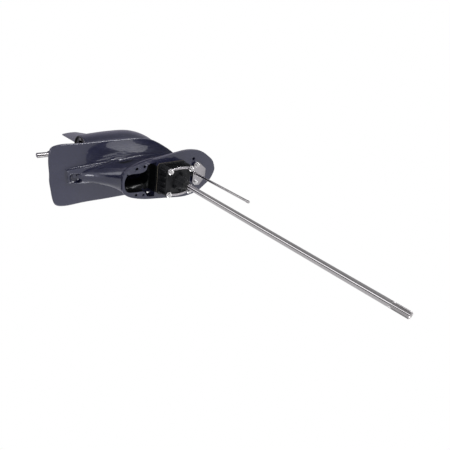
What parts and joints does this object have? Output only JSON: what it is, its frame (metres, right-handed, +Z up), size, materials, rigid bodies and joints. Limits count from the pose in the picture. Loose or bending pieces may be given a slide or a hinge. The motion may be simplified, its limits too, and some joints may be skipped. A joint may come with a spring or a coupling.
{
  "type": "outboard lower unit",
  "caption": "Outboard motor gearcase with drive shaft, water pump, shift rod, bevel gears, dog clutch and bare propeller shaft, for bolting under a leg.",
  "frame": {"origin": "where the drive shaft's axis meets the deck face, which bolts to the leg above", "axes": "+X forward, towards the nose, +Y to port, +Z up the drive shaft"},
  "size_m": [0.5226, 0.1906, 1.2973],
  "materials": {
    "casting_paint": "glossy dark blue-grey marine paint over cast alloy",
    "pump_plastic": "moulded black glass-filled plastic",
    "stainless": "bright stainless steel, ground",
    "fastener_steel": "stainless fasteners, satin",
    "bearing_steel": "hardened and ground bearing steel",
    "gear_steel": "case-hardened gear steel, oiled",
    "rubber_black": "nitrile rubber",
    "gasket_sheet": "fibre gasket sheet",
    "zinc": "bare cast zinc, dull",
    "bush_bronze": "sintered bronze"
  },
  "bodies": {
    "casing": {"gearcase_housing": "casting_paint", "bearing_carrier": "casting_paint", "carrier_bolts": "fastener_steel", "carrier_oring": "rubber_black", "carrier_needle_bearing": "bearing_steel", "propeller_shaft_seals": "rubber_black", "reverse_bearing_outer_ring": "bearing_steel", "forward_bearing_cup": "bearing_steel", "upper_bearing_cup": "bearing_steel", "lower_needle_bearing": "bearing_steel", "oil_seal_housing": "casting_paint", "oil_seal_oring": "rubber_black", "drive_shaft_seals": "rubber_black", "pump_gasket": "gasket_sheet", "wear_plate": "stainless", "pump_dowels": "fastener_steel", "pump_insert_cup": "stainless", "pump_housing": "pump_plastic", "pump_washers": "fastener_steel", "pump_bolts": "fastener_steel", "holder_bar_port": "stainless", "holder_bar_starboard": "stainless", "pump_boot": "rubber_black", "water_tube_grommet": "rubber_black", "shift_seal_housing": "pump_plastic", "shift_rod_seal": "rubber_black", "shift_bracket": "stainless", "bracket_bolts": "fastener_steel", "water_screen_port": "pump_plastic", "water_screen_starboard": "pump_plastic", "screen_screws": "fastener_steel", "drain_plug": "fastener_steel", "level_plug": "fastener_steel", "plug_gaskets": "gasket_sheet", "trim_tab_bolt": "casting_paint"},
    "drive": {"drive_shaft": "stainless", "pinion_gear": "gear_steel", "pinion_nut": "fastener_steel", "pump_impeller": "rubber_black", "impeller_key": "fastener_steel", "upper_bearing_cone": "bearing_steel", "upper_bearing_rollers": "bearing_steel"},
    "forward": {"forward_gear": "gear_steel", "forward_gear_bush": "bush_bronze", "forward_bearing_cone": "bearing_steel", "forward_bearing_rollers": "bearing_steel"},
    "reverse": {"reverse_gear": "gear_steel", "reverse_bearing_inner_ring": "bearing_steel", "reverse_bearing_balls": "bearing_steel"},
    "propeller": {"propeller_shaft": "stainless", "thrust_washer": "bush_bronze"},
    "clutch": {"dog_clutch": "gear_steel", "clutch_cross_pin": "bearing_steel", "clutch_spring": "bearing_steel", "shift_slider": "gear_steel"},
    "shift": {"shift_rod": "stainless", "shift_cam": "gear_steel"},
    "tab": {"trim_tab": "zinc"}
  },
  "joints": [
    {"name": "drive_shaft_spin", "type": "hinge", "parent": "casing", "child": "drive", "pos_m": [0, 0, 0], "axis": [0, 0, 1], "continuous": true},
    {"name": "forward_gear_spin", "type": "hinge", "parent": "casing", "child": "forward", "pos_m": [0.03, 0, -0.308], "axis": [1, 0, 0], "continuous": true},
    {"name": "reverse_gear_spin", "type": "hinge", "parent": "casing", "child": "reverse", "pos_m": [-0.03, 0, -0.308], "axis": [1, 0, 0], "continuous": true},
    {"name": "propeller_shaft_spin", "type": "hinge", "parent": "casing", "child": "propeller", "pos_m": [-0.1, 0, -0.308], "axis": [1, 0, 0], "continuous": true},
    {"name": "clutch_slide", "type": "slide", "parent": "propeller", "child": "clutch", "axis": [1, 0, 0], "range_m": [-0.0039, 0.0039]},
    {"name": "shift_rod_turn", "type": "hinge", "parent": "casing", "child": "shift", "pos_m": [0.094, 0, 0], "axis": [0, 0, 1], "range_deg": [-16, 16]},
    {"name": "trim_tab_turn", "type": "hinge", "parent": "casing", "child": "tab", "pos_m": [-0.264, 0, -0.121], "axis": [0, 0, 1], "range_deg": [-15, 15]}
  ],
  "couplings": [
    {"joint": "forward_gear_spin", "follows": "drive_shaft_spin", "ratio": -0.54167},
    {"joint": "reverse_gear_spin", "follows": "drive_shaft_spin", "ratio": 0.54167},
    {"joint": "shift_rod_turn", "follows": "clutch_slide", "rad_per_m": -71.429}
  ]
}
